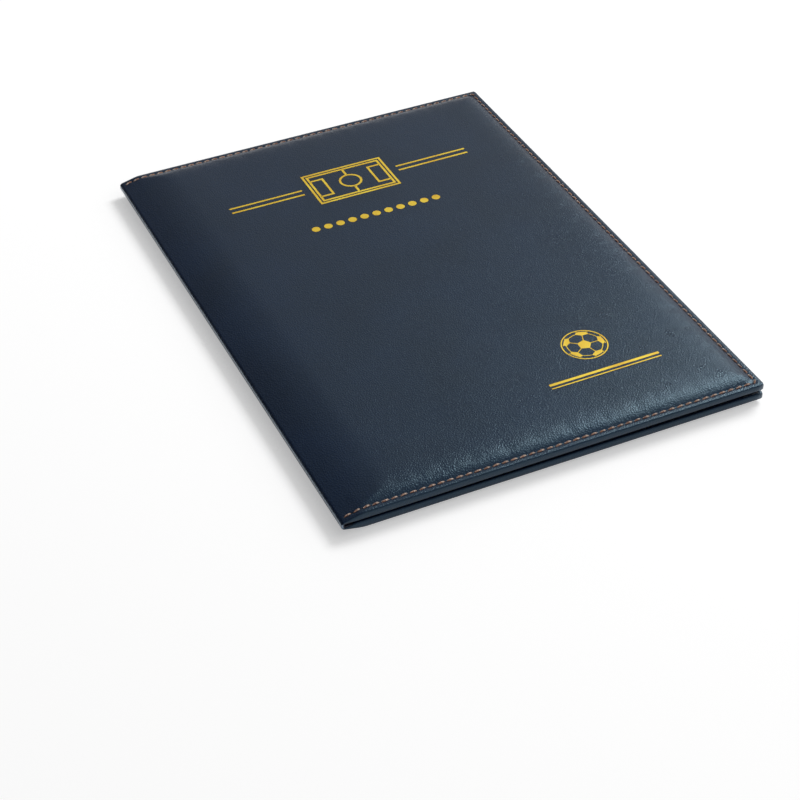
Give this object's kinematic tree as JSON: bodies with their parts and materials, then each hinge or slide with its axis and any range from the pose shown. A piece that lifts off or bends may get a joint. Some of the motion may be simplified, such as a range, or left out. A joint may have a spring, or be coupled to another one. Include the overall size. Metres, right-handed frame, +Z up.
{
  "type": "tactics board",
  "caption": "Book-style folding tactics board: padded, stitched leatherette covers about one fold, with magnetic pitch faces inside and sliding player and ball magnets.",
  "frame": {"origin": "middle of the shut board's box, on the rear cover's resting face", "axes": "+X from the fold to the open side, +Y along the fold to the head of the cover, +Z up, out of the front cover"},
  "size_m": [0.219, 0.31, 0.0127],
  "materials": {
    "navy_leatherette": "grained matt leatherette with a soft sheen",
    "navy_lining": "thin grained lining",
    "tan_thread": "twisted sewing thread",
    "grey_foam": "soft closed-cell foam",
    "grey_board": "pressed grey board",
    "tinned_steel": "thin rolled sheet",
    "printed_pitch_film": "printed wipe-clean film",
    "red_magnet_plastic": "moulded, glossy",
    "blue_magnet_plastic": "moulded, glossy",
    "white_magnet_plastic": "moulded, glossy"
  },
  "bodies": {
    "rear_panel": {"rear_cover_leather": "navy_leatherette", "rear_foam_pad": "grey_foam", "rear_backing_board": "grey_board", "rear_steel_sheet": "tinned_steel", "rear_pitch_sheet": "printed_pitch_film", "rear_border_lining": "navy_lining", "rear_seam_thread": "tan_thread", "spine_cover_leather": "navy_leatherette", "spine_lining": "navy_lining"},
    "front_panel": {"front_cover_leather": "navy_leatherette", "front_foam_pad": "grey_foam", "front_backing_board": "grey_board", "front_steel_sheet": "tinned_steel", "front_pitch_sheet": "printed_pitch_film", "front_border_lining": "navy_lining", "front_seam_thread": "tan_thread"},
    "red_magnet_01": {"red_magnet_01": "red_magnet_plastic"},
    "red_magnet_02": {"red_magnet_02": "red_magnet_plastic"},
    "red_magnet_03": {"red_magnet_03": "red_magnet_plastic"},
    "red_magnet_04": {"red_magnet_04": "red_magnet_plastic"},
    "red_magnet_05": {"red_magnet_05": "red_magnet_plastic"},
    "red_magnet_06": {"red_magnet_06": "red_magnet_plastic"},
    "red_magnet_07": {"red_magnet_07": "red_magnet_plastic"},
    "red_magnet_08": {"red_magnet_08": "red_magnet_plastic"},
    "red_magnet_09": {"red_magnet_09": "red_magnet_plastic"},
    "red_magnet_10": {"red_magnet_10": "red_magnet_plastic"},
    "red_magnet_11": {"red_magnet_11": "red_magnet_plastic"},
    "blue_magnet_01": {"blue_magnet_01": "blue_magnet_plastic"},
    "blue_magnet_02": {"blue_magnet_02": "blue_magnet_plastic"},
    "blue_magnet_03": {"blue_magnet_03": "blue_magnet_plastic"},
    "blue_magnet_04": {"blue_magnet_04": "blue_magnet_plastic"},
    "blue_magnet_05": {"blue_magnet_05": "blue_magnet_plastic"},
    "blue_magnet_06": {"blue_magnet_06": "blue_magnet_plastic"},
    "blue_magnet_07": {"blue_magnet_07": "blue_magnet_plastic"},
    "blue_magnet_08": {"blue_magnet_08": "blue_magnet_plastic"},
    "blue_magnet_09": {"blue_magnet_09": "blue_magnet_plastic"},
    "blue_magnet_10": {"blue_magnet_10": "blue_magnet_plastic"},
    "blue_magnet_11": {"blue_magnet_11": "blue_magnet_plastic"},
    "ball_magnet": {"ball_magnet": "white_magnet_plastic"}
  },
  "joints": [
    {"name": "cover_fold", "type": "hinge", "parent": "rear_panel", "child": "front_panel", "pos_m": [-0.10725, 0, 0.00635], "axis": [0, -1, 0], "range_deg": [0, 180], "deforming": ["spine_cover_leather", "spine_lining"]},
    {"name": "red_magnet_01_slide", "type": "slide", "parent": "rear_panel", "child": "red_magnet_01", "axis": [1, 0, 0], "range_m": [0, 0.058]},
    {"name": "red_magnet_02_slide", "type": "slide", "parent": "rear_panel", "child": "red_magnet_02", "axis": [1, 0, 0], "range_m": [0, 0.058]},
    {"name": "red_magnet_03_slide", "type": "slide", "parent": "rear_panel", "child": "red_magnet_03", "axis": [1, 0, 0], "range_m": [0, 0.058]},
    {"name": "red_magnet_04_slide", "type": "slide", "parent": "rear_panel", "child": "red_magnet_04", "axis": [1, 0, 0], "range_m": [0, 0.058]},
    {"name": "red_magnet_05_slide", "type": "slide", "parent": "rear_panel", "child": "red_magnet_05", "axis": [1, 0, 0], "range_m": [0, 0.058]},
    {"name": "red_magnet_06_slide", "type": "slide", "parent": "rear_panel", "child": "red_magnet_06", "axis": [1, 0, 0], "range_m": [0, 0.058]},
    {"name": "red_magnet_07_slide", "type": "slide", "parent": "rear_panel", "child": "red_magnet_07", "axis": [1, 0, 0], "range_m": [0, 0.058]},
    {"name": "red_magnet_08_slide", "type": "slide", "parent": "rear_panel", "child": "red_magnet_08", "axis": [1, 0, 0], "range_m": [0, 0.058]},
    {"name": "red_magnet_09_slide", "type": "slide", "parent": "rear_panel", "child": "red_magnet_09", "axis": [1, 0, 0], "range_m": [0, 0.058]},
    {"name": "red_magnet_10_slide", "type": "slide", "parent": "rear_panel", "child": "red_magnet_10", "axis": [1, 0, 0], "range_m": [0, 0.058]},
    {"name": "red_magnet_11_slide", "type": "slide", "parent": "rear_panel", "child": "red_magnet_11", "axis": [1, 0, 0], "range_m": [0, 0.058]},
    {"name": "blue_magnet_01_slide", "type": "slide", "parent": "front_panel", "child": "blue_magnet_01", "axis": [-1, 0, 0], "range_m": [0, 0.058]},
    {"name": "blue_magnet_02_slide", "type": "slide", "parent": "front_panel", "child": "blue_magnet_02", "axis": [-1, 0, 0], "range_m": [0, 0.058]},
    {"name": "blue_magnet_03_slide", "type": "slide", "parent": "front_panel", "child": "blue_magnet_03", "axis": [-1, 0, 0], "range_m": [0, 0.058]},
    {"name": "blue_magnet_04_slide", "type": "slide", "parent": "front_panel", "child": "blue_magnet_04", "axis": [-1, 0, 0], "range_m": [0, 0.058]},
    {"name": "blue_magnet_05_slide", "type": "slide", "parent": "front_panel", "child": "blue_magnet_05", "axis": [-1, 0, 0], "range_m": [0, 0.058]},
    {"name": "blue_magnet_06_slide", "type": "slide", "parent": "front_panel", "child": "blue_magnet_06", "axis": [-1, 0, 0], "range_m": [0, 0.058]},
    {"name": "blue_magnet_07_slide", "type": "slide", "parent": "front_panel", "child": "blue_magnet_07", "axis": [-1, 0, 0], "range_m": [0, 0.058]},
    {"name": "blue_magnet_08_slide", "type": "slide", "parent": "front_panel", "child": "blue_magnet_08", "axis": [-1, 0, 0], "range_m": [0, 0.058]},
    {"name": "blue_magnet_09_slide", "type": "slide", "parent": "front_panel", "child": "blue_magnet_09", "axis": [-1, 0, 0], "range_m": [0, 0.058]},
    {"name": "blue_magnet_10_slide", "type": "slide", "parent": "front_panel", "child": "blue_magnet_10", "axis": [-1, 0, 0], "range_m": [0, 0.058]},
    {"name": "blue_magnet_11_slide", "type": "slide", "parent": "front_panel", "child": "blue_magnet_11", "axis": [-1, 0, 0], "range_m": [0, 0.058]},
    {"name": "ball_magnet_slide", "type": "slide", "parent": "rear_panel", "child": "ball_magnet", "axis": [1, 0, 0], "range_m": [0, 0.166]}
  ]
}
